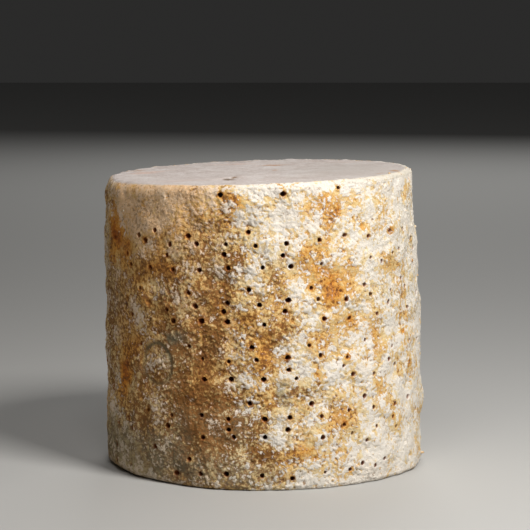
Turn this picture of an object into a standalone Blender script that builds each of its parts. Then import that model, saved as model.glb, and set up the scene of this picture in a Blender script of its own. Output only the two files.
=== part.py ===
"""A whole blue cheese in its natural rind: a hand-turned drum with a needle-pierced side.

Run with: blender --background --python part.py
Units are metres, +Z is up, and the cheese stands on z = 0 with its foot centred on the origin.
An azimuth is an angle round the side: 0 faces -Y, and it grows towards +X.
"""

import math
import random

import bmesh
import bpy
from mathutils import Matrix, Vector, noise

MM = 0.001

# The drum
HEIGHT = 197.5 * MM
BASE_RADIUS = 106.5 * MM
TOP_RADIUS = 103.0 * MM
CREST = 4.0 * MM
FOOT = 4.0 * MM
SEGMENTS = 80
SIDE_ROWS = 19
ARC_STEPS = 3
TOP_RINGS = (34.0 * MM, 66.0 * MM, 86.0 * MM)

# How the drum has settled
LEAN = -4.4 * MM
TOP_TILT = math.radians(1.8)
BULGE = 1.0 * MM
BULGE_SWING = 0.6 * MM
OVAL = -0.6 * MM
# Where its edges have slumped, and how much rounder than nominal they are there and elsewhere
SLUMP_AT = math.radians(-72)
SLUMP_SPREAD = math.radians(44)
CREST_SLUMP = 1.3
FOOT_SLUMP = 1.0
EDGE_SCALE = 0.85
EDGE_ROOM = 1.3

# The uneven skin: each wave has a size across and a height
SIDE_WAVES = ((70 * MM, 1.0 * MM), (26 * MM, 1.3 * MM), (13 * MM, 1.3 * MM))
TOP_WAVES = ((60 * MM, 0.9 * MM), (26 * MM, 0.7 * MM))
WAVE_PLACE = Vector((3.7, 1.9, 5.3))
# Single swellings that stand out in the outline: azimuth, height, how far out, size across
SWELLINGS = (
    (math.radians(87), 41 * MM, 1.9 * MM, 13 * MM),
    (math.radians(88), 111 * MM, 1.3 * MM, 9 * MM),
    (math.radians(90), 66 * MM, -0.9 * MM, 12 * MM),
    (math.radians(-140), 88 * MM, 1.2 * MM, 20 * MM),
    (math.radians(160), 52 * MM, -1.0 * MM, 16 * MM),
)

# The needle holes, in banks of rows round the side
COLUMNS = 33
COLUMN_STEP = math.tau / COLUMNS
NEEDLE_RADIUS = 1.6 * MM
NEEDLE_DEPTH = 15 * MM
NEEDLE_PROUD = 5 * MM
NEEDLE_SIDES = 6
AZIMUTH_JITTER = math.radians(0.55)
HEIGHT_JITTER = 0.9 * MM
ROW_RISE = 1.2 * MM
# On the near side, columns -5 to 6, each row names its healed holes; elsewhere a share has healed
NEAR_COLUMNS = range(-5, 7)
HEALED_SHARE = 0.28
# Each bank: first column's azimuth, columns between needles, and its rows' heights in mm
BANKS = (
    (-0.9, 1, {10: (-5, -4, 5, 6), 48.5: (-5,), 85: (-5, -3, 4), 122: (-4, -3), 160: (-5,)}),
    (0.5, 1, {34.8: (-4, -3, 1), 72.5: (-5, 2), 109.5: (-4, 1, 5), 145: (3,)}),
    (-4.4, 2, {20: (-4, 0, 2, 4, 6), 57.5: (-4, -2, 6), 93.5: (6,), 130: (), 166: (2, 4, 6)}),
    (-13.4, 2, {40: (), 78.5: (0,), 116: (4,), 152: (4, 6), 191.5: (-4, -2, 6)}),
)
# Needles that went in off the rows: azimuth in degrees and height in mm
STRAYS = ((48.6, 143), (39, 28.6), (47.5, 14.5), (37, 14), (-41.5, 24.6), (60, 149), (-40, 168))

# The plug that a cheese iron drew and put back
PLUG_AZIMUTH = math.radians(-40.5)
PLUG_HEIGHT = 80 * MM
PLUG_RADIUS = 13 * MM
PLUG_GROOVE = 1.3 * MM
PLUG_SINK = 0.5 * MM
PLUG_STEPS = 22
PLUG_MARGIN = 4 * MM

# The split in the top face: a wide end and a thin tail, each with its half sizes and turn
SPLIT = Vector((-24.5, -44.5, 0)) * MM
SPLIT_SIZE = Vector((5.0, 3.0, 3.4)) * MM
SPLIT_TURN = math.radians(-8)
TAIL = Vector((-17.5, -37.0, 0)) * MM
TAIL_SIZE = Vector((12.0, 1.4, 2.4)) * MM
TAIL_TURN = math.radians(52)


def clear_scene():
    """Remove whatever the startup file holds."""
    for old in list(bpy.data.objects):
        bpy.data.objects.remove(old, do_unlink=True)


def new_collection(name):
    """A new collection in the scene."""
    made = bpy.data.collections.new(name)
    bpy.context.scene.collection.children.link(made)
    return made


def angle_from(azimuth, centre):
    """How far an azimuth is from a centre, the short way round."""
    return abs((azimuth - centre + math.pi) % math.tau - math.pi)


def distance_on_side(azimuth, height, at_azimuth, at_height):
    """Distance between two places on the side, measured along it."""
    return math.hypot(angle_from(azimuth, at_azimuth) * BASE_RADIUS, height - at_height)


def wall_radius(height):
    """Radius of the plain drum at a height."""
    return BASE_RADIUS + (TOP_RADIUS - BASE_RADIUS) * height / HEIGHT


def turned(azimuth, radius, height):
    """The point at an azimuth, a distance from the axis and a height."""
    return Vector((radius * math.sin(azimuth), -radius * math.cos(azimuth), height))


def edge_scale(azimuth, slump):
    """How much rounder than nominal an edge is here."""
    off = angle_from(azimuth, SLUMP_AT) / SLUMP_SPREAD
    return EDGE_SCALE + slump * math.exp(-off * off)


def round_edges(azimuth, radius, height):
    """Scale the arcs of the top and bottom edges about their corners."""
    arc = 1.01
    if height > HEIGHT - arc * CREST and radius > TOP_RADIUS - arc * CREST:
        scale = edge_scale(azimuth, CREST_SLUMP)
        return TOP_RADIUS + (radius - TOP_RADIUS) * scale, HEIGHT + (height - HEIGHT) * scale
    if height < arc * FOOT and radius > BASE_RADIUS - arc * FOOT:
        scale = edge_scale(azimuth, FOOT_SLUMP)
        return BASE_RADIUS + (radius - BASE_RADIUS) * scale, height * scale
    return radius, height


def waves(place, sizes):
    """Smooth unevenness at a place, summed over several sizes of wave."""
    return sum(high * noise.noise(place / across + WAVE_PLACE) for across, high in sizes)


def bulge(azimuth, height):
    """How far the side stands out from the plain drum, apart from its waves."""
    share = min(max(height / HEIGHT, 0.0), 1.0)
    out = (BULGE + BULGE_SWING * math.sin(azimuth)) * math.sin(math.pi * share)
    out += OVAL * math.cos(2 * azimuth)
    for at, level, rise, across in SWELLINGS:
        off = distance_on_side(azimuth, height, at, level) / (across / 2)
        out += rise * math.exp(-off * off)
    if distance_on_side(azimuth, height, PLUG_AZIMUTH, PLUG_HEIGHT) < PLUG_RADIUS:
        out -= PLUG_SINK
    return out


def settled(azimuth, radius, height):
    """Where a point of the plain turned drum ends up on the settled cheese."""
    radius, height = round_edges(azimuth, radius, height)
    share = height / HEIGHT
    plain = turned(azimuth, radius, height)
    outer = min(radius / wall_radius(height), 1.0) ** 4
    out = bulge(azimuth, height) + waves(plain, SIDE_WAVES)
    moved = turned(azimuth, radius + out * outer, height)
    moved.x += LEAN * share
    moved.z += (math.tan(TOP_TILT) * plain.x + waves(plain, TOP_WAVES) * (1 - outer)) * share
    return moved


def drum_profile():
    """Half of the drum's section, from the middle of the top face down to the middle of the foot."""
    points = [(0.0, HEIGHT)] + [(ring, HEIGHT) for ring in TOP_RINGS]
    turns = [math.pi / 2 * step / ARC_STEPS for step in range(ARC_STEPS + 1)]
    for turn in turns:
        points.append((TOP_RADIUS - CREST * (1 - math.sin(turn)), HEIGHT - CREST * (1 - math.cos(turn))))
    high = HEIGHT - EDGE_ROOM * CREST * (EDGE_SCALE + CREST_SLUMP)
    low = EDGE_ROOM * FOOT * (EDGE_SCALE + FOOT_SLUMP)
    for row in range(SIDE_ROWS):
        level = high + (low - high) * row / (SIDE_ROWS - 1)
        points.append((wall_radius(level), level))
    for turn in turns:
        points.append((BASE_RADIUS - FOOT * (1 - math.cos(turn)), FOOT * (1 - math.sin(turn))))
    return points + [(0.0, 0.0)]


def turned_mesh(points):
    """The mesh that a Screw modifier makes from a profile."""
    line = bpy.data.meshes.new("profile")
    corners = [(radius, 0.0, height) for radius, height in points]
    line.from_pydata(corners, [(i, i + 1) for i in range(len(corners) - 1)], [])
    holder = bpy.data.objects.new("profile", line)
    bpy.context.scene.collection.objects.link(holder)
    screw = holder.modifiers.new("turn", "SCREW")
    screw.steps = SEGMENTS
    screw.render_steps = SEGMENTS
    screw.use_merge_vertices = True
    screw.merge_threshold = 0.0001
    graph = bpy.context.evaluated_depsgraph_get()
    mesh = bpy.data.meshes.new_from_object(holder.evaluated_get(graph))
    bpy.data.objects.remove(holder)
    bpy.data.meshes.remove(line)
    return mesh


def rind_material():
    """Dry bloomy rind: cream and ochre, hardly any shine."""
    material = bpy.data.materials.new("rind")
    material.use_nodes = True
    shader = material.node_tree.nodes["Principled BSDF"]
    shader.inputs["Base Color"].default_value = (0.60, 0.45, 0.27, 1.0)
    shader.inputs["Roughness"].default_value = 0.85
    shader.inputs["Metallic"].default_value = 0.0
    return material


def make_drum(home):
    """The cheese itself, before anything is pierced or cut."""
    mesh = turned_mesh(drum_profile())
    mesh.name = "cheese_wheel"
    for vertex in mesh.vertices:
        azimuth = math.atan2(vertex.co.x, -vertex.co.y)
        radius = math.hypot(vertex.co.x, vertex.co.y)
        vertex.co = settled(azimuth, radius, vertex.co.z)
    mesh.materials.append(rind_material())
    mesh.shade_smooth()
    mesh.set_sharp_from_angle(angle=math.radians(40))
    drum = bpy.data.objects.new("cheese_wheel", mesh)
    home.objects.link(drum)
    return drum


def needle_holes():
    """Azimuth, height and radius of every needle hole that is still open."""
    draw = random.Random(20)
    for first, stride, rows in BANKS:
        for row, healed_columns in rows.items():
            for column in range(-(COLUMNS // 2), COLUMNS // 2 + 1, stride):
                azimuth = math.radians(first) + column * COLUMN_STEP + draw.gauss(0, AZIMUTH_JITTER)
                height = row * MM + ROW_RISE * math.sin(azimuth) + draw.gauss(0, HEIGHT_JITTER)
                radius = NEEDLE_RADIUS * draw.uniform(0.85, 1.2)
                healed = draw.random() < HEALED_SHARE
                if column in NEAR_COLUMNS:
                    healed = column in healed_columns
                off_plug = distance_on_side(azimuth, height, PLUG_AZIMUTH, PLUG_HEIGHT)
                if not healed and off_plug > PLUG_RADIUS + PLUG_MARGIN:
                    yield azimuth, height, radius
    for degrees, height in STRAYS:
        yield math.radians(degrees), height * MM, NEEDLE_RADIUS


def fill_needles(shape):
    """Tapered needle paths, each pointing at the drum's axis."""
    length = NEEDLE_DEPTH + NEEDLE_PROUD
    for azimuth, height, radius in needle_holes():
        inward = -turned(azimuth, 1, 0)
        centre = settled(azimuth, wall_radius(height), height) + inward * (length / 2 - NEEDLE_PROUD)
        facing = inward.to_track_quat("Z", "Y").to_matrix().to_4x4()
        bmesh.ops.create_cone(
            shape,
            segments=NEEDLE_SIDES,
            radius1=radius * length / NEEDLE_DEPTH,
            radius2=0,
            depth=length,
            cap_ends=True,
            matrix=Matrix.Translation(centre) @ facing,
        )


def fill_plug_ring(shape):
    """The cut that the cheese iron left: a square ring groove that follows the round side."""
    quarters = [math.tau * side / 4 for side in range(4)]
    ring = []
    for step in range(PLUG_STEPS):
        turn = math.tau * step / PLUG_STEPS
        section = []
        for quarter in quarters:
            reach = PLUG_RADIUS + PLUG_GROOVE * math.cos(quarter)
            azimuth = PLUG_AZIMUTH + reach * math.cos(turn) / BASE_RADIUS
            height = PLUG_HEIGHT + reach * math.sin(turn)
            radius = wall_radius(height) + PLUG_GROOVE * math.sin(quarter)
            section.append(shape.verts.new(settled(azimuth, radius, height)))
        ring.append(section)
    for section, after in zip(ring, ring[1:] + ring[:1]):
        for side in range(4):
            beside = (side + 1) % 4
            shape.faces.new((section[side], section[beside], after[beside], after[side]))


def fill_lens(at, size, turn):
    """A function that adds a lens-shaped bite at a place on the top face."""

    def fill(shape):
        middle = settled(math.atan2(at.x, -at.y), at.length, HEIGHT)
        lens = Matrix.Rotation(turn, 4, "Z") @ Matrix.Diagonal(size).to_4x4()
        place = Matrix.Translation(middle) @ lens
        bmesh.ops.create_icosphere(shape, subdivisions=2, radius=1.0, matrix=place)

    return fill


def make_cutter(name, home, fill):
    """A hidden mesh that is taken out of the drum."""
    shape = bmesh.new()
    fill(shape)
    bmesh.ops.recalc_face_normals(shape, faces=shape.faces[:])
    mesh = bpy.data.meshes.new(name)
    shape.to_mesh(mesh)
    shape.free()
    cutter = bpy.data.objects.new(name, mesh)
    cutter.hide_render = True
    cutter.display_type = "WIRE"
    home.objects.link(cutter)


def main():
    clear_scene()
    drum = make_drum(new_collection("cheese_wheel_parts"))
    cutters = new_collection("cutters")
    make_cutter("needles", cutters, fill_needles)
    make_cutter("plug_ring", cutters, fill_plug_ring)
    make_cutter("split", cutters, fill_lens(SPLIT, SPLIT_SIZE, SPLIT_TURN))
    make_cutter("split_tail", cutters, fill_lens(TAIL, TAIL_SIZE, TAIL_TURN))
    cut = drum.modifiers.new("cut", "BOOLEAN")
    cut.operation = "DIFFERENCE"
    cut.operand_type = "COLLECTION"
    cut.collection = cutters
    cut.solver = "EXACT"


main()
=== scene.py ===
"""The looks of a whole blue cheese in its natural rind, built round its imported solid.

Metres, +Z up, standing on z = 0. An azimuth is an angle round the side: 0 faces the camera, and it
grows towards +X. The drum, its waves and its needle holes follow the same rules as the solid's.
The rind is made as one closed skin, pierced, and then parted into six pieces that meet edge to edge.
"""

import math
import random
from types import SimpleNamespace

import bmesh
import bpy
import numpy as np
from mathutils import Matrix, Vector, kdtree, noise


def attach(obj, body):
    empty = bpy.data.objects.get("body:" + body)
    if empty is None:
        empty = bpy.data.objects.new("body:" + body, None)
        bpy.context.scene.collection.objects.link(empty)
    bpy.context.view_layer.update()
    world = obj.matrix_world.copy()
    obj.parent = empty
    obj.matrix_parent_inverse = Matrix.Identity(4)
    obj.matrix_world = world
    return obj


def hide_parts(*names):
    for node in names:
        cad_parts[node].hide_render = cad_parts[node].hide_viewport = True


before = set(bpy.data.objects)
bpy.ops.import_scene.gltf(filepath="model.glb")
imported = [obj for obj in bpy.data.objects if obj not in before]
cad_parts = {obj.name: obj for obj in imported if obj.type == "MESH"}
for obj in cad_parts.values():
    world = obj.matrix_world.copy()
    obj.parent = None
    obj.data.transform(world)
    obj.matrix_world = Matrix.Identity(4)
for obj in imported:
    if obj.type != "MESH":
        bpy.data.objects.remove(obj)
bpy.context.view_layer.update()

MM = 0.001

# The drum, as in the solid
HEIGHT = 197.5 * MM
BASE_RADIUS = 106.5 * MM
TOP_RADIUS = 103.0 * MM
CREST = 4.0 * MM
FOOT = 4.0 * MM
LEAN = -4.4 * MM
TOP_TILT = math.radians(1.8)
BULGE = 1.0 * MM
BULGE_SWING = 0.6 * MM
OVAL = -0.6 * MM
SLUMP_AT = math.radians(-72)
SLUMP_SPREAD = math.radians(44)
CREST_SLUMP = 1.3
FOOT_SLUMP = 1.0
EDGE_SCALE = 0.85
SIDE_WAVES = ((70 * MM, 1.0 * MM), (26 * MM, 1.3 * MM), (13 * MM, 1.3 * MM))
TOP_WAVES = ((60 * MM, 0.9 * MM), (26 * MM, 0.7 * MM))
WAVE_PLACE = Vector((3.7, 1.9, 5.3))
# Azimuth in degrees, then height, how far out and size across in mm
SWELLINGS = (
    (87, 41, 1.9, 13),
    (88, 111, 1.3, 9),
    (90, 66, -0.9, 12),
    (-140, 88, 1.2, 20),
    (160, 52, -1.0, 16),
)

# The needle holes, as in the solid
COLUMNS = 33
COLUMN_STEP = math.tau / COLUMNS
NEEDLE_RADIUS = 1.6 * MM
NEEDLE_DEPTH = 15 * MM
AZIMUTH_JITTER = math.radians(0.55)
HEIGHT_JITTER = 0.9 * MM
ROW_RISE = 1.2 * MM
NEAR_COLUMNS = range(-5, 7)
HEALED_SHARE = 0.28
# Azimuths between which crumbs have narrowed the mouths
NARROWED = (0.2, 1.3)
BANKS = (
    (-0.9, 1, {10: (-5, -4, 5, 6), 48.5: (-5,), 85: (-5, -3, 4), 122: (-4, -3), 160: (-5,)}),
    (0.5, 1, {34.8: (-4, -3, 1), 72.5: (-5, 2), 109.5: (-4, 1, 5), 145: (3,)}),
    (-4.4, 2, {20: (-4, 0, 2, 4, 6), 57.5: (-4, -2, 6), 93.5: (6,), 130: (), 166: (2, 4, 6)}),
    (-13.4, 2, {40: (), 78.5: (0,), 116: (4,), 152: (4, 6), 191.5: (-4, -2, 6)}),
)
STRAYS = ((48.6, 143), (39, 28.6), (47.5, 14.5), (37, 14), (-41.5, 24.6), (60, 149), (-40, 168))

# The drawn plug, as in the solid: azimuth in degrees and height in mm
PLUG = (-40.5, 80)
PLUG_RADIUS = 13 * MM
PLUG_SINK = 0.5 * MM
PLUG_MARGIN = 4 * MM
GROOVE_WIDTH = 1.5 * MM
GROOVE_DEPTH = 1.0 * MM
# The pale crescent of rind outside the groove: how far off it lies, its width and its height
CRESCENT = (1.6 * MM, 0.8 * MM, 0.5 * MM)
# The split in the top face and its tail: x, y, half width and half depth in mm, turn in degrees
# and rise in mm. A shallow dip before it and a raised lip behind it open it towards the front.
SPLIT = (-19.6, -43.0, 3.4, 2.1, -6, -2.2)
TAIL = (-14.0, -37.5, 6.5, 1.6, 42, -0.8)
DIP = (-16.6, -50.0, 20, 11, 0, -1.6)
LIP = (-17.6, -38.4, 10, 2.4, 0, 0.8)

# How finely the rind is modelled: points round the side, and the steps along its section
ROUND = 1024
SIDE_STEP = 0.66 * MM
TOP_STEP = 1.1 * MM
FOOT_STEP = 2.4 * MM
COARSEST_RING = 16

# The crumbly relief: size across and height in mm of each kind of unevenness
LUMPS = (8.0, 0.95)
SCALLOPS = (6.5, 0.45)
WORMS = (4.2, 0.2)
CRUMBLE = (3.2, 0.75)
COARSE_GRAIN = (2.2, 0.6)
FINE_GRAIN = (1.35, 0.6)
# The slumped shoulder, where all of it is softer: azimuth in degrees and height in mm
SHOULDER = (-50, 178)
# How much of it shows on the top face
FACE_SHARE = 0.4

# The crumbs that cling to the side: how many, their middling size, and how deep they sit in sizes
CRUMBS = 360
CRUMB_SIZE = 1.1 * MM
CRUMB_SUNK = 0.12
# The one big crumb that hangs on near the foot: azimuth in degrees, height in mm, half sizes in mm
STUCK = (84, 6)
STUCK_SIZE = (2.9, 2.0, 1.0)

# The pieces, by number
PIECES = ("front", "right", "back", "left", "top", "foot")
TOP, UNDER = 4, 5

# Where the crust is stained: azimuth and height of the middle, half width and half height in mm,
# turn in degrees, and how strongly
STAINED = (
    (26, 132, 12, 12, 20, 1.15),
    (22, 104, 8, 14, 0, 0.1),
    (28, 179, 4, 5, 0, 0.9),
    (25, 160, 3, 10, -10, 0.6),
    (16, 150, 8, 5, 30, 0.5),
    (20, 73, 3, 7, 0, 0.8),
    (24, 90, 7, 8, 0, 0.5),
    (12, 23, 26, 5, 0, 0.7),
    (52, 166, 8, 6, 0, 0.5),
    (46, 62, 5, 9, 0, 0.6),
    (30, 48, 12, 14, 0, 0.35),
    (-58, 66, 9, 17, -25, 1.5),
    (-53, 94, 11, 8, 30, 0.9),
    (-65, 159, 13, 16, 0, 1.45),
    (-36, 142, 10, 8, 0, 0.4),
    (36, 142, 10, 8, 0, 0.6),
    (50, 82, 8, 8, 0, 0.3),
    (-25, 150, 8, 10, 0, 0.6),
    (-15, 110, 8, 12, 0, 0.5),
    (2, 88, 10, 10, 0, 0.5),
    (18, 90, 12, 8, 0, 0.4),
    (4, 14, 14, 10, 0, 0.5),
    (-12, 133, 4, 4, 0, 1.0),
    (-8, 189, 9, 5, 0, 0.5),
    (-50, 140, 8, 10, 0, 0.5),
    (-38, 148, 10, 8, 20, 0.5),
    (-22, 90, 9, 16, 0, 0.5),
    (-24, 60, 12, 10, 0, 0.7),
    (-12, 58, 6, 7, 0, 0.5),
    (4, 60, 6, 7, 0, 0.4),
    (5, 98, 9, 18, -18, 0.5),
    (-5, 112, 9, 8, 0, 0.4),
    (-46, 80, 4, 8, 0, 0.6),
    (67, 84, 9, 32, 0, 0.45),
    (10, 124, 8, 8, 0, 0.4),
    (62, 136, 6, 8, 0, 0.5),
    (58, 40, 8, 16, 0, 0.4),
    (14, 128, 7, 12, 0, -0.5),
)
# Where it is browned. The broad patches low on the left side, below about 45 mm, are partly real
# browning and partly painted shade that darkens the rind towards the bottom left
BROWNED_AND_SHADED = (
    (-17, 106, 9, 26, 8, 1.2),
    (-18, 146, 8, 18, 0, 0.9),
    (-33, 126, 14, 18, 0, 0.6),
    (-36, 100, 8, 10, 0, 0.5),
    (-5, 112, 12, 12, 0, 0.4),
    (4, 142, 8, 12, 20, 0.7),
    (6, 96, 9, 20, -18, 0.6),
    (-74, 100, 14, 80, 0, 0.9),
    (-20, 24, 40, 30, 0, 0.6),
    (0, 12, 26, 14, 0, 0.9),
    (-34, 82, 14, 30, 0, 0.7),
    (-18, 60, 10, 26, 0, 0.4),
    (-40, 180, 44, 20, 0, -0.9),
    (-65, 159, 14, 17, 0, -0.9),
    (-58, 66, 10, 18, -25, -0.9),
    (-20, 40, 50, 34, 0, 0.5),
    (-10, 140, 7, 11, 0, 1.2),
    (-31, 92, 10, 16, 0, 0.8),
    (-20, 90, 8, 14, 0, 0.7),
    (0, 122, 7, 8, 0, 0.4),
    (0, 22, 9, 9, 0, 0.5),
    (2, 60, 7, 8, 0, 0.3),
    (-50, 80, 8, 10, 0, 0.8),
    (-50, 40, 10, 10, 0, 0.8),
    (-38, 20, 12, 10, 0, 0.8),
    (-10, 38, 8, 9, 0, 1.1),
    (-54, 168, 16, 14, 0, -0.8),
    (-26, 44, 26, 18, 0, 0.6),
    (-3, 42, 12, 10, 0, 0.6),
    (-58, 110, 20, 40, 0, 0.4),
    (13, 62, 5, 4, 0, 0.8),
    (8, 60, 7, 9, 0, 0.5),
)
# Where the rind is beige
BEIGED = (
    (-42, 178, 38, 24, 0, 0.9),
    (-18, 100, 14, 70, 0, 0.25),
    (-62, 120, 14, 30, 0, 0.3),
    (6, 100, 12, 30, -18, 0.15),
    (-65, 159, 14, 17, 0, -0.9),
    (-58, 66, 10, 18, -25, -0.6),
)
# Where the white bloom lies thick
FLOURED = (
    (-42, 180, 34, 18, 0, 0.35),
    (-20, 186, 24, 9, 0, 0.9),
    (-62, 182, 16, 16, 0, 0.7),
    (-65, 159, 13, 16, 0, -0.9),
    (-58, 66, 9, 17, -25, -0.9),
    (-30, 40, 46, 30, 0, -0.35),
    (36, 3, 22, 8, 0, 1.0),
    (50, 21, 14, 14, 0, 0.9),
    (-44, 184, 34, 14, 0, 0.5),
    (10, 178, 26, 11, 0, 0.7),
    (37, 166, 16, 24, 0, 0.55),
    (42, 18, 26, 16, 0, 0.6),
    (27, 72, 9, 12, 0, 0.8),
    (12, 75, 8, 12, 0, 0.7),
    (0, 113, 3, 11, -25, 0.9),
    (-8, 130, 5, 12, 0, 0.7),
    (14, 128, 7, 12, 0, 1.1),
    (-6, 66, 8, 14, 0, 1.3),
    (-3, 49, 9, 5, 0, 0.2),
    (-54, 166, 18, 14, 0, 0.7),
    (62, 92, 10, 22, 0, 0.4),
    (20, 40, 8, 8, 0, 0.4),
    (-42, 36, 12, 9, 0, 0.5),
    (50, 102, 18, 20, 0, 0.45),
    (22, 143, 7, 5, 0, 0.5),
    (45, 138, 16, 22, 0, -0.25),
    (38, 92, 10, 16, 0, 0.4),
    (-12, 70, 5, 16, 0, 0.3),
    (-37, 78, 4, 8, 0, 0.5),
    (2, 16, 40, 8, 0, 0.3),
    (62, 175, 16, 20, 0, 0.5),
    (78, 130, 10, 60, 0, 0.3),
)
# Brown spots on the top face: x, y, half width and half depth in mm, turn in degrees, how strongly
SPOTTED = (
    (10.5, 50, 9, 5, 0, 0.8),
    (11, 15, 3, 4, 0, 0.6),
    (90, -30, 4, 7, 20, 0.8),
    (80, -46, 5, 3, 40, 0.5),
    (-84, 40, 5, 12, -20, 0.5),
    (-30, 62, 14, 3, 10, 0.3),
    (44, -20, 4, 4, 0, 0.3),
    (-52, -58, 5, 4, 0, 0.35),
    (36, 74, 12, 4, -10, 0.35),
    (-8, 92, 10, 3, 0, 0.4),
)
# Where the top face is greyer: painted shade over its right part
TOP_FACE_SHADE = ((70, -10, 60, 90, 0, 0.9),)
# Where the top face is flushed pink
FLUSHED = (
    (-79, 16, 12, 8, 0, 1.0),
    (-69, 29, 14, 6, 0, 0.8),
    (-50, -50, 26, 10, 10, 0.5),
    (-20, 70, 24, 8, 0, 0.6),
    (12, 50, 22, 6, 0, 0.6),
    (-10, -66, 30, 8, 0, 0.4),
    (60, 60, 20, 10, -20, 0.4),
    (60, -50, 24, 8, 20, 0.3),
)
# Where grey-green mould shows through
MOULDED = (
    (-70, 22, 34, 26, 0, 0.8),
    (-33, 98, 7, 6, 0, 0.8),
    (9, 62, 7, 10, 0, 0.7),
    (-42, 18, 34, 20, 0, 0.5),
    (-12, 8, 36, 14, 0, 0.4),
    (-36, 36, 26, 14, 0, 0.3),
    (-62, 118, 10, 16, 0, 0.3),
)

# The camera that the photograph was fitted with
CAMERA_PLACE = (0, -1.543, 0.3239)
CAMERA_PITCH = math.radians(7.03)
CAMERA_LENS = 154.9


def srgb(red, green, blue):
    """A colour seen on a screen, from 0 to 255, as the linear colour that a shader takes."""
    parts = [value / 255 for value in (red, green, blue)]
    return tuple(p / 12.92 if p < 0.04045 else ((p + 0.055) / 1.055) ** 2.4 for p in parts) + (1.0,)


def angle_from(azimuth, centre):
    """How far azimuths are from a centre, the short way round, with its sign."""
    return (azimuth - centre + math.pi) % math.tau - math.pi


def off_side(azimuth, height, at_degrees, at_mm):
    """Distance along the side from places to one spot, given in degrees and mm."""
    return np.hypot(angle_from(azimuth, math.radians(at_degrees)) * BASE_RADIUS, height - at_mm * MM)


def smooth(value, low, high):
    """0 below low, 1 above high and a soft step between."""
    share = np.clip((value - low) / (high - low), 0, 1)
    return share * share * (3 - 2 * share)


def bell(value, middle, spread):
    """1 where a value is at the middle, falling to nothing over a few spreads."""
    return np.exp(-(((value - middle) / spread) ** 2))


def sector(degrees, opens, full, fades, ends):
    """1 between two azimuths and 0 well outside them, with soft ends."""
    return smooth(degrees, opens, full) * (1 - smooth(degrees, fades, ends))


def hump(across, up, half_width, half_height, turn):
    """1 at the middle of a soft oval and 0 well outside it."""
    turn = math.radians(turn)
    along = across * math.cos(turn) + up * math.sin(turn)
    upward = up * math.cos(turn) - across * math.sin(turn)
    return np.exp(-((along / half_width) ** 2) - (upward / half_height) ** 2)


def wall_radius(height):
    """Radius of the plain drum at heights."""
    return BASE_RADIUS + (TOP_RADIUS - BASE_RADIUS) * height / HEIGHT


def turned(azimuth, radius, height):
    """Points at azimuths, distances from the axis and heights."""
    return np.stack([radius * np.sin(azimuth), -radius * np.cos(azimuth), height + 0 * azimuth], -1)


def edge_scale(azimuth, slump):
    """How much rounder than nominal an edge is."""
    return EDGE_SCALE + slump * bell(angle_from(azimuth, SLUMP_AT), 0, SLUMP_SPREAD)


def needle_holes():
    """Azimuth, height, radius and whether it has healed, of every needle hole."""
    draw = random.Random(20)
    for first, stride, rows in BANKS:
        for row, healed_columns in rows.items():
            for column in range(-(COLUMNS // 2), COLUMNS // 2 + 1, stride):
                azimuth = math.radians(first) + column * COLUMN_STEP + draw.gauss(0, AZIMUTH_JITTER)
                height = row * MM + ROW_RISE * math.sin(azimuth) + draw.gauss(0, HEIGHT_JITTER)
                radius = NEEDLE_RADIUS * draw.uniform(0.85, 1.2)
                healed = draw.random() < HEALED_SHARE
                if column in NEAR_COLUMNS:
                    healed = column in healed_columns
                if off_side(azimuth, height, *PLUG) > PLUG_RADIUS + PLUG_MARGIN:
                    yield azimuth, height, radius, healed
    for degrees, height in STRAYS:
        yield math.radians(degrees), height * MM, NEEDLE_RADIUS, False


HOLES = list(needle_holes())


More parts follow.
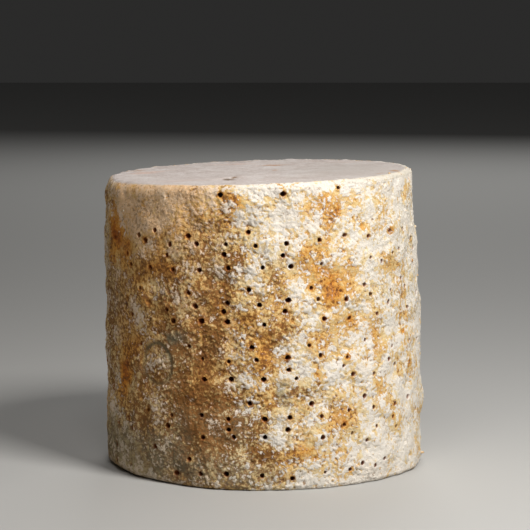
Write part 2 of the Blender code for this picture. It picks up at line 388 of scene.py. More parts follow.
class Skin:
    """The plain drum's points, ring by ring, and everything that is worked out for each of them."""

    def __init__(self):
        rings = list(self.rings())
        self.counts = [len(ring[0]) for ring in rings]
        self.parts = [ring[3] for ring in rings]
        self.azimuth, self.radius, self.height = (np.concatenate(c) for c in list(zip(*rings))[:3])
        jitter = np.random.default_rng(3).uniform(-0.25, 0.25, (2, len(self.azimuth)))
        self.azimuth = self.azimuth + jitter[0] * math.tau / ROUND
        upright = (self.height > 2 * FOOT) & (self.height < HEIGHT - 3 * CREST)
        self.height = self.height + upright * jitter[1] * SIDE_STEP
        across = self.radius / wall_radius(self.height)
        self.outer = np.minimum(across, 1) ** 4
        self.side = smooth(across, 0.93, 0.99)
        self.on_top = (self.outer < 1) & (self.height > HEIGHT / 2)
        self.plain = turned(self.azimuth, self.radius, self.height)
        self.vectors = [Vector(point) for point in self.plain]
        out = wall_radius(self.height) - self.radius
        self.along = self.height + np.where(self.height > HEIGHT / 2, out, -out)
        self.find_holes()
        # How far the edges of patches wander, sideways and upwards
        self.ragged = [
            7 * MM * self.noise(19, shift) + 4.5 * MM * self.noise(7, shift + 1)
            for shift in (81.0, 87.0)
        ]

    @staticmethod
    def rings():
        """Azimuths, radii, heights and part of each ring, from the top's middle to the foot's."""
        whole = np.arange(ROUND) * math.tau / ROUND - math.pi
        crest = CREST * edge_scale(whole, CREST_SLUMP)
        foot = FOOT * edge_scale(whole, FOOT_SLUMP)

        def flat(edge, height, step, part):
            reach, count, share = edge.mean(), ROUND, 1.0
            while share * reach > 2 * step:
                every = ROUND // count
                yield whole[::every], edge[::every] * share, np.full(count, height), part
                share -= step / reach
                if count > COARSEST_RING and math.tau * share * reach / count < 0.8 * step:
                    count //= 2

        yield from reversed(list(flat(TOP_RADIUS - crest, HEIGHT, TOP_STEP, TOP)))
        steps = round(CREST * (EDGE_SCALE + CREST_SLUMP / 2) * math.pi / 2 / SIDE_STEP)
        turns = np.linspace(0, math.pi / 2, steps, endpoint=False)
        for turn in turns[1:]:
            radius = TOP_RADIUS - crest * (1 - math.sin(turn))
            yield whole, radius, HEIGHT - crest * (1 - math.cos(turn)), 0
        for share in np.linspace(0, 1, round(HEIGHT / SIDE_STEP)):
            height = (HEIGHT - crest) * (1 - share) + foot * share
            yield whole, wall_radius(height), height, 0
        for turn in turns[1:]:
            yield whole, BASE_RADIUS - foot * (1 - math.cos(turn)), foot * (1 - math.sin(turn)), 0
        yield from flat(BASE_RADIUS - foot, 0.0, FOOT_STEP, UNDER)

    def find_holes(self):
        """Each point's nearest needle hole, whether it has healed, and its distance in hole radii."""
        tree = kdtree.KDTree(3 * len(HOLES))
        for index, (azimuth, height, _, _) in enumerate(HOLES):
            for lap in (-math.tau, 0, math.tau):
                tree.insert(((azimuth + lap) * BASE_RADIUS, height, 0), index)
        tree.balance()
        found = [tree.find((a * BASE_RADIUS, h, 0)) for a, h in zip(self.azimuth, self.height)]
        self.hole = np.array([index for _, index, _ in found])
        self.healed = np.array([hole[3] for hole in HOLES])[self.hole]
        away = np.array([distance for _, _, distance in found])
        self.off_hole = away / np.array([hole[2] for hole in HOLES])[self.hole]

    def noise(self, across_mm, shift=0.0, stretch=1.0):
        """Noise of a size across in mm, stretched upwards; another shift gives another pattern."""
        place = WAVE_PLACE + Vector((shift, -shift, shift))
        scale = Vector((1, 1, 1 / stretch)) / (across_mm * MM)
        return np.array([noise.noise(vector * scale + place) for vector in self.vectors])

    def crumbs(self, across_mm):
        """Rounded crumbs with narrow gaps between them."""
        scale = 1 / (across_mm * MM)
        ends = (noise.voronoi(vector * scale)[0] for vector in self.vectors)
        return np.minimum(1, [2.4 * (near[1] - near[0]) for near in ends]) - 0.6

    def patches(self, table):
        """How strongly a table of ovals with ragged edges shows at each point of the side."""
        total = 0
        for degrees, level, half_width, half_height, turn, amount in table:
            across = angle_from(self.azimuth, math.radians(degrees)) * BASE_RADIUS + self.ragged[0]
            up = self.height - level * MM + self.ragged[1]
            total += amount * hump(across, up, half_width * MM, half_height * MM, turn)
        return total * self.side

    def faces(self):
        """The skin's faces, and the piece that each belongs to, from its rings."""
        faces, pieces = [], []
        start = 0
        rings = list(zip(self.counts, self.parts))
        for (count, part), (after, next_part) in zip(rings, rings[1:]):
            low = start + count
            fewest = min(count, after)
            for index in range(fewest):
                ahead = (index + 1) % fewest
                if count == after:
                    made = [(start + index, low + index, low + ahead, start + ahead)]
                elif count > after:
                    a, b, c = (start + (2 * index + k) % count for k in range(3))
                    made = [(a, low + index, b), (b, low + index, low + ahead), (b, low + ahead, c)]
                else:
                    a, b, c = (low + (2 * index + k) % after for k in range(3))
                    made = [(start + index, a, b), (start + index, b, start + ahead)]
                    made.append((start + ahead, b, c))
                quarter = int((index / fewest * 4 + 2.5) % 4)
                faces += made
                pieces += [part if part and part == next_part else quarter] * len(made)
            start = low
        middle, count = len(self.azimuth), self.counts[0]
        faces += [(middle, index, (index + 1) % count) for index in range(count)]
        pieces += [TOP] * count
        count = self.counts[-1]
        faces += [(middle + 1, start + (index + 1) % count, start + index) for index in range(count)]
        pieces += [UNDER] * count
        return faces, pieces


def waves(skin, sizes):
    """The smooth unevenness that the solid has too."""
    return sum(high * skin.noise(across / MM) for across, high in sizes)


def bulge(azimuth, height):
    """How far the side stands out from the plain drum, apart from its waves."""
    share = np.clip(height / HEIGHT, 0, 1)
    out = (BULGE + BULGE_SWING * np.sin(azimuth)) * np.sin(math.pi * share)
    out += OVAL * np.cos(2 * azimuth)
    for degrees, level, rise, across in SWELLINGS:
        out += rise * MM * bell(off_side(azimuth, height, degrees, level), 0, across * MM / 2)
    off_plug = off_side(azimuth, height, *PLUG)
    return out - PLUG_SINK * (1 - smooth(off_plug, PLUG_RADIUS - 1 * MM, PLUG_RADIUS))


def crumbly_relief(skin):
    """Height in mm of the crumbly rind over the smooth drum. The colours follow its finer part too."""
    degrees = np.degrees(skin.azimuth)
    shoulder = 1 - smooth(off_side(skin.azimuth, skin.height, *SHOULDER), 12 * MM, 60 * MM)
    flank = sector(degrees, 28, 62, 105, 150)
    shade = sector(-degrees, 5, 35, 75, 110)
    skin.rough = 1 - 0.45 * shoulder - 0.4 * flank - 0.2 * shade
    rough = skin.rough * (skin.side + FACE_SHARE * (1 - skin.side))
    lumps = LUMPS[1] * skin.noise(LUMPS[0], 2.0) * (1 - 0.4 * shoulder)
    scallops = SCALLOPS[1] * flank * skin.noise(SCALLOPS[0], 11.0)
    worms = (0.5 - 2.2 * np.abs(skin.noise(WORMS[0], 7.0, 1.2))) * (1 - shoulder)
    patchy = smooth(skin.noise(12, 13.0), -0.25, 0.3)
    grain = COARSE_GRAIN[1] * skin.noise(COARSE_GRAIN[0], 17.0)
    grain = grain + FINE_GRAIN[1] * skin.noise(FINE_GRAIN[0], 23.0)
    skin.rise = WORMS[1] * worms + CRUMBLE[1] * skin.crumbs(CRUMBLE[0]) * patchy + grain
    return (lumps + 0.75 * skin.rise) * rough + scallops * skin.side


def hole_relief(skin):
    """Height in mm of the raised lips and healed dimples of the needle holes."""
    draw = random.Random(5)
    lip = np.array([draw.uniform(-0.3, 1.0) for _ in HOLES])[skin.hole]
    away = skin.off_hole * (1 + 0.25 * skin.noise(2.4, 31.0))
    return (0.4 * lip * bell(away, 1.5, 0.45) - skin.healed * bell(away, 0, 0.85)) * skin.side


def plug_relief(skin):
    """Height in mm of the healed ring where a tasting plug was drawn."""
    across = angle_from(skin.azimuth, math.radians(PLUG[0])) * BASE_RADIUS
    up = skin.height - PLUG[1] * MM
    away = np.hypot(across / 0.95, up / 1.04) + 0.8 * MM * skin.noise(7, 41.0)
    turn = np.arctan2(across, up)
    groove = bell(away, PLUG_RADIUS, GROOVE_WIDTH)
    # The groove is deepest, and its painted shadow darkest, along the top and upper right, where the
    # plug's upper edge shades it
    skin.groove = groove * (0.62 + 0.38 * smooth(np.cos(turn - 0.25), -0.2, 0.8)) * skin.side
    off, width, rise = CRESCENT
    lip = bell(away, PLUG_RADIUS + off, width)
    skin.crescent = lip * smooth(-np.cos(turn + 0.5), 0.3, 0.9) * skin.side
    return (rise * skin.crescent - GROOVE_DEPTH * skin.groove) / MM


def face_marks(skin, table):
    """How strongly a table of soft marks on the top face shows at each point."""
    x, y = skin.plain[:, 0] + skin.ragged[0] * 0.3, skin.plain[:, 1] + skin.ragged[1] * 0.3
    return skin.on_top * sum(
        amount * hump(x - at_x * MM, y - at_y * MM, half_x * MM, half_y * MM, turn)
        for at_x, at_y, half_x, half_y, turn, amount in table
    )


def split_relief(skin):
    """Height in mm of the split in the top face, with its tail, dip and lip."""
    ovals, relief = [], 0
    for at_x, at_y, half_x, half_y, turn, rise in (SPLIT, TAIL, DIP, LIP):
        across, up = skin.plain[:, 0] - at_x * MM, skin.plain[:, 1] - at_y * MM
        ovals.append(hump(across, up, half_x * MM, half_y * MM, turn) * skin.on_top)
        relief = relief + rise * ovals[-1]
    # These two ovals also place the painted shade of the split and the painted shadow of its tail
    skin.split, skin.tail = ovals[:2]
    return relief


def settled(skin, relief):
    """Where the plain drum's points end up on the settled cheese, with the relief over them in mm."""
    share = skin.height / HEIGHT
    out = bulge(skin.azimuth, skin.height) + waves(skin, SIDE_WAVES)
    edge = smooth(skin.radius / wall_radius(skin.height), 0.95, 1.0)
    moved = turned(skin.azimuth, skin.radius + out * skin.outer + relief * MM * edge, skin.height)
    moved[:, 0] += LEAN * share
    top_waves = waves(skin, TOP_WAVES) * (1 - skin.outer)
    moved[:, 2] += (math.tan(TOP_TILT) * skin.plain[:, 0] + top_waves) * share
    moved[:, 2] += relief * MM * (1 - edge) * (share > 0.5)
    return moved


def stain_fields(skin):
    """What the rind's colours follow: each field is about 0 where it is absent and 1 where full."""
    draw = random.Random(77)
    far = {"stained": [], "browned": [], "floured": [], "moulded": []}
    for _ in range(46):
        spot = (draw.uniform(95, 265), draw.uniform(12, 186), draw.uniform(4, 15), draw.uniform(5, 20))
        kind = draw.choice(("stained", "stained", "browned", "floured", "floured", "moulded"))
        far[kind].append((*spot, draw.uniform(-30, 30), draw.uniform(0.4, 1.0)))
    degrees = np.degrees(skin.azimuth)
    left = sector(-degrees, -6, 30, 120, 170)
    across = skin.azimuth * BASE_RADIUS
    middle = hump(across, skin.height - 95 * MM, 42 * MM, 75 * MM, 0)
    flank = sector(degrees, 30, 62, 105, 150)
    stained = 0.24 + 0.3 * skin.noise(46, 51.0) + 0.5 * skin.noise(15, 57.0) + 0.14 * left - 0.2 * flank
    skin.stained = stained + 0.85 * skin.patches(STAINED + tuple(far["stained"]))
    browned = 0.2 + 0.48 * left + 0.24 * middle - 0.1 * flank + 0.3 * skin.noise(30, 63.0)
    # Painted shade is part of this field: it darkens the rind towards the bottom left
    skin.browned = browned + 0.6 * skin.patches(BROWNED_AND_SHADED + tuple(far["browned"]))
    skin.beige = 0.5 * left + skin.patches(BEIGED)
    floured = 0.68 + 0.1 * left - 0.1 * middle + 0.08 * flank + 0.3 * skin.noise(22, 69.0)
    rims = smooth(skin.height, HEIGHT - 14 * MM, HEIGHT - 3 * MM)
    rims = rims + 1 - smooth(skin.height, 2 * MM, 12 * MM)
    skin.floured = floured + 0.45 * skin.patches(FLOURED + tuple(far["floured"])) + 0.3 * rims
    foot = 1 - smooth(skin.height, 6 * MM, 34 * MM)
    skin.moulded = 0.05 * left + 0.3 * foot + skin.patches(MOULDED + tuple(far["moulded"]))
    # Painted shade: the right part of the top face greyer, in the same field as the side's mould
    skin.moulded += face_marks(skin, TOP_FACE_SHADE)
    skin.streaked = sector(degrees, 44, 62, 110, 150)
    hue = np.array([draw.uniform(-0.6, 1.0) for _ in HOLES])[skin.hole]
    ring, width = np.where(skin.healed, 0.4, 1.2), np.where(skin.healed, 0.9, 0.45)
    skin.ringed = bell(skin.off_hole, ring, width) * hue * skin.side
    skin.onside = skin.side
    skin.spotted = face_marks(skin, SPOTTED)
    skin.flushed = face_marks(skin, FLUSHED)


FIELDS = (
    "rise", "rough", "stained", "browned", "beige", "floured", "moulded", "streaked", "ringed",
    "onside", "groove", "crescent", "split", "tail", "spotted", "flushed",
)


def new_object(name, data):
    """A new object in the scene, at the origin."""
    made = bpy.data.objects.new(name, data)
    bpy.context.scene.collection.objects.link(made)
    return made


def surface_point(azimuth, height):
    """The smooth settled side at one place."""
    out = float(bulge(np.array([azimuth]), np.array([height]))[0])
    plain = Vector(turned(azimuth, wall_radius(height), height))
    for across, high in SIDE_WAVES:
        out += high * noise.noise(plain / across + WAVE_PLACE)
    share = height / HEIGHT
    moved = Vector(turned(azimuth, wall_radius(height) + out, height))
    moved.x += LEAN * share
    moved.z += math.tan(TOP_TILT) * plain.x * share
    return moved


def needle_cutter():
    """Every open needle path as one mesh: ragged tapered tubes that point at the axis."""
    draw = random.Random(9)
    sides = 14
    # Each ring: how far in, and its width as a share of the hole's radius
    rings = (
        (-5 * MM, 1.7),
        (-1.0 * MM, 1.32),
        (-0.1 * MM, 1.08),
        (1.0 * MM, 0.94),
        (5 * MM, 0.84),
        (NEEDLE_DEPTH, 0.45),
    )
    vertices, faces, pieces = [], [], []
    for azimuth, height, radius, healed in HOLES:
        tilt = Vector([draw.gauss(0, 0.05) for _ in range(3)])
        ragged = [[draw.uniform(0.86, 1.14) for _ in range(sides)] for _ in rings]
        squeeze = draw.uniform(0.82, 1.12)
        if healed:
            continue
        if NARROWED[0] < azimuth < NARROWED[1]:
            radius *= draw.uniform(0.7, 1.0)
        mouth = surface_point(azimuth, height)
        inward = (tilt - Vector(turned(azimuth, 1, 0))).normalized()
        across = inward.cross(Vector((0, 0, 1))).normalized()
        up = across.cross(inward)
        start = len(vertices)
        for level, (depth, width) in enumerate(rings):
            for side in range(sides):
                turn = math.tau * side / sides
                reach = radius * width * (ragged[level][side] + ragged[2][side]) / 2
                place = mouth + inward * depth
                place += across * (reach * squeeze * math.cos(turn)) + up * (reach * math.sin(turn))
                vertices.append(place)
        before = len(faces)
        for level in range(len(rings) - 1):
            for side in range(sides):
                a = start + level * sides + side
                b = start + level * sides + (side + 1) % sides
                faces.append((a, b, b + sides, a + sides))
        faces.append([start + side for side in reversed(range(sides))])
        faces.append([start + (len(rings) - 1) * sides + side for side in range(sides)])
        quarter = int((azimuth % math.tau / math.tau * 4 + 0.5) % 4)
        pieces += [quarter] * (len(faces) - before)
    mesh = bpy.data.meshes.new("needles")
    mesh.from_pydata(vertices, [], faces)
    mesh.polygons.foreach_set("material_index", pieces)
    for _ in PIECES:
        mesh.materials.append(RIND)
    shape = bmesh.new()
    shape.from_mesh(mesh)
    bmesh.ops.recalc_face_normals(shape, faces=shape.faces[:])
    shape.to_mesh(mesh)
    shape.free()
    return mesh


def pierced(skin, points):
    """The skin as one closed mesh with its needle holes cut through it. A face's slot is its piece."""
    faces, pieces = skin.faces()
    ends = [points[: skin.counts[0]].mean(0), points[-skin.counts[-1] :].mean(0)]
    mesh = bpy.data.meshes.new("skin")
    mesh.from_pydata(np.vstack([points, ends]).tolist(), [], faces)
    mesh.polygons.foreach_set("material_index", pieces)
    for _ in PIECES:
        mesh.materials.append(RIND)
    whole = new_object("skin", mesh)
    needles = new_object("needles", needle_cutter())
    cut = whole.modifiers.new("pierce", "BOOLEAN")
    cut.operation = "DIFFERENCE"
    cut.object = needles
    cut.solver = "MANIFOLD"
    graph = bpy.context.evaluated_depsgraph_get()
    made = bpy.data.meshes.new_from_object(whole.evaluated_get(graph))
    bpy.data.objects.remove(needles)
    bpy.data.objects.remove(whole)
    return made


def read(items, name, width=1, kind=np.float32):
    """One property of many of a mesh's elements, as an array."""
    values = np.empty(len(items) * width, kind)
    items.foreach_get(name, values)
    return values.reshape(-1, width) if width > 1 else values


def rind_pieces(skin, points, mesh):
    """Parts the pierced skin into pieces, with its fields, its own shading and a neat unwrap."""
    places = read(mesh.vertices, "co", 3)
    normals = read(mesh.vertex_normals, "vector", 3)
    tree = kdtree.KDTree(len(points))
    for index, point in enumerate(points):
        tree.insert(point, index)
    tree.balance()
    nearest = np.array([tree.find(place)[1] for place in places])
    moved = places - points[nearest]
    outward = turned(skin.azimuth, 1, 0)[nearest]
    inside = smooth(-(moved * outward).sum(1), 0.1 * MM, 1.1 * MM) * skin.side[nearest]
    fields = {name: getattr(skin, name)[nearest] for name in FIELDS} | {"inside": inside}
    sideways = np.stack([np.cos(skin.azimuth), np.sin(skin.azimuth)], -1)[nearest]
    azimuth = skin.azimuth[nearest] + (moved[:, :2] * sideways).sum(1) / BASE_RADIUS
    along = skin.along[nearest] + moved[:, 2]
    corner = read(mesh.loops, "vertex_index", kind=np.int32)
    first = read(mesh.polygons, "loop_start", kind=np.int32)
    total = read(mesh.polygons, "loop_total", kind=np.int32)
    owner = read(mesh.polygons, "material_index", kind=np.int32)
    for number, name in enumerate(PIECES):
        chosen = np.nonzero(owner == number)[0]
        corners = np.concatenate([np.arange(first[f], first[f] + total[f]) for f in chosen])
        used, local = np.unique(corner[corners], return_inverse=True)
        faces = np.split(local, np.cumsum(total[chosen])[:-1])
        made = bpy.data.meshes.new("rind_" + name)
        made.from_pydata(places[used].tolist(), [], [face.tolist() for face in faces])
        for field, values in fields.items():
            data = made.attributes.new(field, "FLOAT", "POINT").data
            data.foreach_set("value", values[used].astype(np.float32))
        if number < TOP:
            turn = angle_from(azimuth[used], number * math.pi / 2) / (math.pi / 2) * 0.92 + 0.5
            flat = np.stack([turn, along[used] / (HEIGHT * 1.12) + 0.04], -1)
        else:
            flat = places[used, :2] / (2.1 * BASE_RADIUS) + 0.5
        layer = made.uv_layers.new(name="OFBake")
        layer.uv.foreach_set("vector", flat[local].astype(np.float32).ravel())
        made.shade_smooth()
        made.normals_split_custom_set_from_vertices(normals[used])
        made.materials.append(RIND)
        piece = new_object("rind_" + name, made)
        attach(piece, "root")
        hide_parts("cheese_wheel")


def loose_crumbs(skin, points):
    """Floury crumbs that cling to the side, all of them one mesh."""
    draw = np.random.default_rng(12)
    shape = bmesh.new()
    bmesh.ops.create_icosphere(shape, subdivisions=2, radius=1)
    ball = np.array([vertex.co for vertex in shape.verts])
    facets = np.array([[vertex.index for vertex in face.verts] for face in shape.faces])
    shape.free()
    pale = np.clip(skin.floured - skin.browned - skin.beige, 0, 1)
    likely = skin.side * (skin.off_hole > 1.5) * pale
    chosen = draw.choice(len(points), CRUMBS, False, likely / likely.sum())
    outward = turned(skin.azimuth[chosen], 1, 0)
    size = draw.lognormal(math.log(CRUMB_SIZE / 2), 0.35, (CRUMBS, 1, 1))
    size = size * draw.uniform(0.6, 1.2, (CRUMBS, 1, 3))
    spots = ball * size * draw.uniform(0.8, 1.2, (CRUMBS, len(ball), 1))
    spots += (points[chosen] - outward * CRUMB_SIZE * CRUMB_SUNK)[:, None]
    stuck = points[np.argmin(off_side(skin.azimuth, skin.height, *STUCK))]
    spots[0] = ball * Vector(STUCK_SIZE) * MM + stuck
    spots[..., 2] = np.maximum(spots[..., 2], 0)
    faces = facets + np.arange(CRUMBS)[:, None, None] * len(ball)
    mesh = bpy.data.meshes.new("crumbs")
    mesh.from_pydata(spots.reshape(-1, 3).tolist(), [], faces.reshape(-1, 3).tolist())
    mesh.shade_smooth()
    mesh.materials.append(crumb_finish())
    piece = new_object("crumbs", mesh)
    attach(piece, "root")


class Wire:
    """A number that varies over a surface. Sums and products of wires add Math nodes."""

    def __init__(self, finish, socket):
        self.finish, self.socket = finish, socket

    def math(self, operation, *values):
        return self.finish.node("ShaderNodeMath", {"operation": operation}, dict(enumerate(values)))

    def __add__(self, other):
        return self.math("ADD", self, other)

    def __sub__(self, other):
        return self.math("SUBTRACT", self, other)

    def __rsub__(self, other):
        return self.math("SUBTRACT", other, self)

    def __mul__(self, other):
        return self.math("MULTIPLY", self, other)

    __radd__ = __add__
    __rmul__ = __mul__

    def step(self, low, high):
        """0 below low, 1 above high and a soft step between."""
        inputs = {"Value": self, "From Min": low, "From Max": high}
        return self.finish.node("ShaderNodeMapRange", {"interpolation_type": "SMOOTHSTEP"}, inputs)


class Finish:
    """One material, and the ways that its nodes are added."""

    def __init__(self, name, roughness):
        self.material = bpy.data.materials.new(name)
        self.material.use_nodes = True
        self.tree = self.material.node_tree
        self.shader = self.tree.nodes["Principled BSDF"]
        self.shader.inputs["Roughness"].default_value = roughness
        self.shader.inputs["Specular IOR Level"].default_value = 0.12

    def plug(self, socket, value):
        """Links a socket to a wire, or gives it a plain value."""
        if isinstance(value, Wire):
            self.tree.links.new(value.socket, socket)
        else:
            socket.default_value = value

    def node(self, kind, settings, inputs, output=0):
        """Adds a node with its settings, then its inputs by name or number, and gives an output."""
        made = self.tree.nodes.new(kind)
        for name, value in settings.items():
            if name == "stops":
                ramp = made.color_ramp.elements
                while len(ramp) < len(value):
                    ramp.new(0.5)
                for element, (position, colour) in zip(ramp, value):
                    element.position, element.color = position, colour
            else:
                setattr(made, name, value)
        for name, value in inputs.items():
            self.plug(made.inputs[name], value)
        return Wire(self, made.outputs[output])

    def field(self, name):
        return self.node("ShaderNodeAttribute", {"attribute_name": name}, {}, "Fac")

    def grain(self, across_mm, detail=2.0, stretch=1.0, roughness=0.5, distortion=0.0, shift=0.0):
        """Noise round 0, about -1 to 1, with a size across in mm, stretched upwards."""
        at = self.node("ShaderNodeTexCoord", {}, {}, "Object")
        scale = (1, 1, 1 / stretch)
        inputs = {0: at, 1: scale, 2: (shift, -shift, shift)}
        at = self.node("ShaderNodeVectorMath", {"operation": "MULTIPLY_ADD"}, inputs)
        inputs = {
            "Vector": at, "Scale": 1 / (across_mm * MM), "Detail": detail,
            "Roughness": roughness, "Distortion": distortion,
        }
        return self.node("ShaderNodeTexNoise", {}, inputs) * 4 - 2

    def blend(self, share, first, second):
        """Mixes two colours: all first at 0 and all second at 1."""
        settings = {"data_type": "RGBA"}
        return self.node("ShaderNodeMix", settings, {0: share, 6: first, 7: second}, 2)

    def ramp(self, value, *stops):
        return self.node("ShaderNodeValToRGB", {"stops": stops}, {"Fac": value})


def rind_mottle(rind):
    """The patterns that the rind's colours share: the relief itself, and noises from fine to broad."""
    lively = rind.field("rough") * 0.4 + 0.6
    return SimpleNamespace(
        rise=rind.field("rise") * lively,
        fleck=rind.grain(0.9, 2, shift=0.3),
        crumb=rind.grain(2.2, 3, roughness=0.6) * lively,
        clot=rind.grain(5.5, 3, roughness=0.6, distortion=0.6) * lively,
        blotch=rind.grain(9, 2, roughness=0.55, distortion=0.8, shift=4.4),
        patch=rind.grain(13, 3, shift=0.7),
        streak=rind.grain(2.6, 3, stretch=7, shift=1.3) * rind.field("streaked"),
    )


def crust_colour(rind, mottle, stain, mould):
    """The crust under the bloom: cream to rust, and dull, tanned, brown or mouldy in places."""
    crust = rind.ramp(
        stain * 0.42 + 0.18,
        (0.0, srgb(238, 222, 186)),
        (0.25, srgb(232, 202, 144)),
        (0.42, srgb(224, 174, 98)),
        (0.62, srgb(218, 148, 62)),
        (0.82, srgb(184, 106, 42)),
        (1.0, srgb(146, 80, 32)),
    )
    dull = (mottle.blotch * 0.7 + mottle.crumb * 0.4).step(-0.3, 0.9)
    crust = rind.blend(dull * 0.45, crust, srgb(188, 134, 92))
    crust = rind.blend(rind.field("beige").step(0.1, 1.2) * 0.4, crust, srgb(222, 166, 104))
    # Browned crust, which low on the left is partly painted shade
    brown = rind.field("browned") * 0.85 + mottle.crumb * 0.75 + mottle.clot * 0.9
    brown = brown + mottle.fleck * 0.5 - mottle.rise * 0.7
    soil = rind.ramp(
        mottle.crumb * 0.6 + mottle.fleck * 0.5 + 0.5,
        (0.0, srgb(70, 43, 24)),
        (1.0, srgb(160, 108, 62)),
    )
    crust = rind.blend(brown.step(0.2, 1.1) * 0.85, crust, soil)
    return rind.blend(mould.step(0.2, 0.9) * 0.6, crust, srgb(120, 122, 104))


def side_colour(rind, mottle):
    """The side: crust under floury bloom, dusted crumbs and the brown creases between them, which are
    darkened further in the pits as painted shade.
    """
    stain = rind.field("stained") + mottle.clot * 0.45 + mottle.crumb * 0.42 + mottle.fleck * 0.3
    stain = stain + rind.field("ringed") * 0.6 - mottle.rise * 0.3 + mottle.streak * 0.35
    mould = rind.field("moulded") + mottle.clot * 0.2 + mottle.patch * 0.15
    crust = crust_colour(rind, mottle, stain, mould)
    bloom = rind.field("floured") + mottle.blotch * 0.3 + mottle.clot * 0.85 + mottle.crumb * 0.65
    bloom = bloom + mottle.fleck * 0.2 + mottle.rise * 0.5 - mottle.streak * 0.3
    bloom = bloom - rind.field("stained") * 0.85 - rind.field("browned") * 0.3
    bloom = bloom - rind.field("ringed") * 0.7 - rind.field("groove") * 0.5
    bloom = bloom + rind.field("crescent") * 0.5
    flour = rind.ramp(
        mottle.fleck * 0.25 + mottle.patch * 0.25 + 0.5,
        (0.0, srgb(228, 216, 200)),
        (0.5, srgb(244, 238, 228)),
        (1.0, srgb(250, 246, 240)),
    )
    dusk = rind.ramp(
        mottle.fleck * 0.3 + mottle.clot * 0.3 + mottle.blotch * 0.2 + 0.5,
        (0.0, srgb(214, 160, 106)),
        (0.5, srgb(238, 196, 148)),
        (1.0, srgb(244, 220, 192)),
    )
    flour = rind.blend(rind.field("beige").step(0.0, 0.9) * 0.9, flour, dusk)
    flour = rind.blend(mould.step(0.2, 0.9) * 0.4, flour, srgb(150, 142, 116))
    colour = rind.blend(bloom.step(0.25, 0.68) * 0.95, crust, flour)
    frost = mottle.rise * 0.7 + mottle.fleck * 0.4 + rind.grain(1.6, 2, shift=6.2) * 0.5
    colour = rind.blend(frost.step(0.35, 1.1) * 0.45, colour, dusk)
    # Brown creases between the crumbs, darkened further in the low pits of the relief as painted shade
    pit_brown_and_shade = mottle.crumb * 0.4 + mottle.fleck * 0.4 - mottle.rise * 0.8
    crease = rind.ramp(stain * 0.5 + 0.3, (0.0, srgb(190, 148, 98)), (1.0, srgb(96, 56, 30)))
    colour = rind.blend(pit_brown_and_shade.step(0.35, 0.95) * 0.85, colour, crease)
    pepper = rind.grain(1.9, 2, shift=8.0) + mottle.crumb * 0.3 + mottle.clot * 0.3
    pepper = pepper + rind.field("beige") * 0.45
    colour = rind.blend(pepper.step(0.6, 1.2) * 0.6, colour, crease)
    # The plug's groove: grey-green mould and painted shadow, darkest along the top and upper right
    return rind.blend(rind.field("groove") * 0.75, colour, srgb(110, 108, 86))


def face_colour(rind, mottle):
    """The top face and the foot: pinkish grey, with flushed and spotted places, greyer where mouldy and
    over the right part of the top face as painted shade.
    """
    faded = rind.grain(16, 4, shift=2.1) * 0.4 + mottle.crumb * 0.35 + mottle.clot * 0.3
    face = rind.ramp(
        (faded + mottle.fleck * 0.2) * 0.5 + 0.5,
        (0.0, srgb(172, 154, 148)),
        (0.4, srgb(198, 187, 182)),
        (0.7, srgb(214, 207, 204)),
        (1.0, srgb(232, 230, 228)),
    )
    # Grey where mouldy, and painted shade over the right part of the top face
    face = rind.blend(rind.field("moulded").step(0.0, 1.2) * 0.6, face, srgb(176, 170, 163))
    flush = (rind.field("flushed") + mottle.clot * 0.2 + mottle.crumb * 0.15).step(0.1, 1.0)
    face = rind.blend(flush * 0.6, face, srgb(212, 178, 162))
    spot = (rind.field("spotted") + mottle.crumb * 0.15 + mottle.fleck * 0.15).step(0.15, 0.7)
    face = rind.blend(spot * 0.7, face, srgb(176, 128, 84))
    return face


def rind_finish():
    """The natural rind, dry and matt: side, faces, split and the walls of the needle holes, with
    painted shade in the split and a painted shadow along its tail.
    """
    rind = Finish("natural_rind", 0.9)
    mottle = rind_mottle(rind)
    side, face = side_colour(rind, mottle), face_colour(rind, mottle)
    colour = rind.blend(rind.field("onside").step(0.2, 0.8), face, side)
    # Painted shadow along the tail of the split
    colour = rind.blend(rind.field("tail").step(0.2, 0.8) * 0.8, colour, srgb(126, 98, 62))
    # Painted shade inside the split
    colour = rind.blend(rind.field("split").step(0.1, 0.5) * 0.9, colour, srgb(84, 66, 38))
    colour = rind.blend(rind.field("inside") * 0.9, colour, srgb(150, 80, 40))
    rind.plug(rind.shader.inputs["Base Color"], colour)
    height = mottle.crumb * 0.4 + mottle.fleck * 0.6 + rind.grain(0.5, 2) * 0.3
    inputs = {"Height": height, "Strength": 0.7, "Distance": 0.3 * MM}
    rind.plug(rind.shader.inputs["Normal"], rind.node("ShaderNodeBump", {}, inputs))
    return rind.material


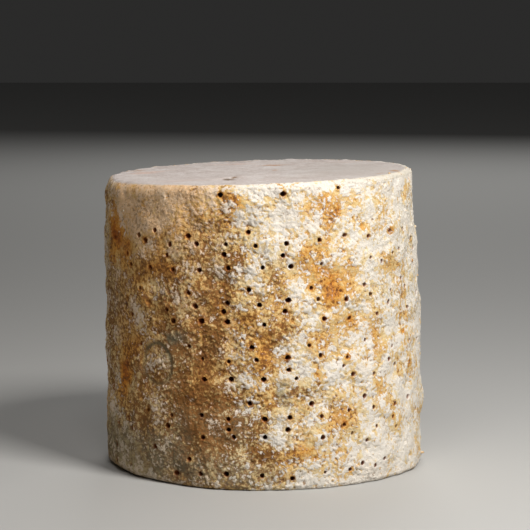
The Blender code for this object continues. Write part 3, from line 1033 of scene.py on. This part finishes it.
def crumb_finish():
    """Crumbs of rind: floury white to tan."""
    finish = Finish("floury_crumbs", 0.95)
    grain = finish.grain(5, 2)
    colour = finish.ramp(
        grain * 0.5 + 0.5,
        (0.1, srgb(190, 144, 94)),
        (0.4, srgb(222, 192, 150)),
        (0.7, srgb(244, 236, 222)),
    )
    finish.plug(finish.shader.inputs["Base Color"], colour)
    return finish.material


def make_camera():
    data = bpy.data.cameras.new("camera")
    data.lens = CAMERA_LENS
    data.sensor_width = 36
    camera = new_object("camera", data)
    camera.location = CAMERA_PLACE
    camera.rotation_euler = (math.pi / 2 - CAMERA_PITCH, 0, 0)
    bpy.context.scene.camera = camera


def area_light(name, place, size, power, colour):
    """A soft square lamp that faces the middle of the cheese."""
    data = bpy.data.lights.new(name, "AREA")
    data.size = size
    data.energy = power
    data.color = colour
    lamp = new_object(name, data)
    lamp.location = place
    aim = Vector((0, 0, HEIGHT / 2)) - Vector(place)
    lamp.rotation_euler = aim.to_track_quat("-Z", "Y").to_euler()


def make_light():
    # The plain transform keeps the rind's oranges true
    bpy.context.scene.view_settings.view_transform = "Standard"
    area_light("key", (0.44, -0.58, 0.88), 0.32, 11, (1.0, 0.97, 0.93))
    area_light("fill", (-0.15, -1.1, 1.6), 0.8, 7.5, (1.0, 0.97, 0.94))
    area_light("back", (0.4, 2.6, 1.5), 1.2, 16, (1.0, 0.99, 0.97))
    world = bpy.data.worlds.new("studio")
    world.use_nodes = True
    world.node_tree.nodes["Background"].inputs["Color"].default_value = (0.8, 0.79, 0.77, 1)
    world.node_tree.nodes["Background"].inputs["Strength"].default_value = 0.03
    bpy.context.scene.world = world


def make_floor():
    mesh = bpy.data.meshes.new("floor")
    shape = bmesh.new()
    bmesh.ops.create_grid(shape, x_segments=1, y_segments=1, size=6.0)
    shape.to_mesh(mesh)
    shape.free()
    floor = new_object("floor", mesh)
    finish = Finish("pale_floor", 0.6)
    finish.plug(finish.shader.inputs["Base Color"], (0.5, 0.5, 0.49, 1))
    mesh.materials.append(finish.material)


make_camera()
make_light()
make_floor()
RIND = rind_finish()
skin = Skin()
relief = crumbly_relief(skin) + hole_relief(skin) + plug_relief(skin) + split_relief(skin)
stain_fields(skin)
points = settled(skin, relief)
rind_pieces(skin, points, pierced(skin, points))
loose_crumbs(skin, points)
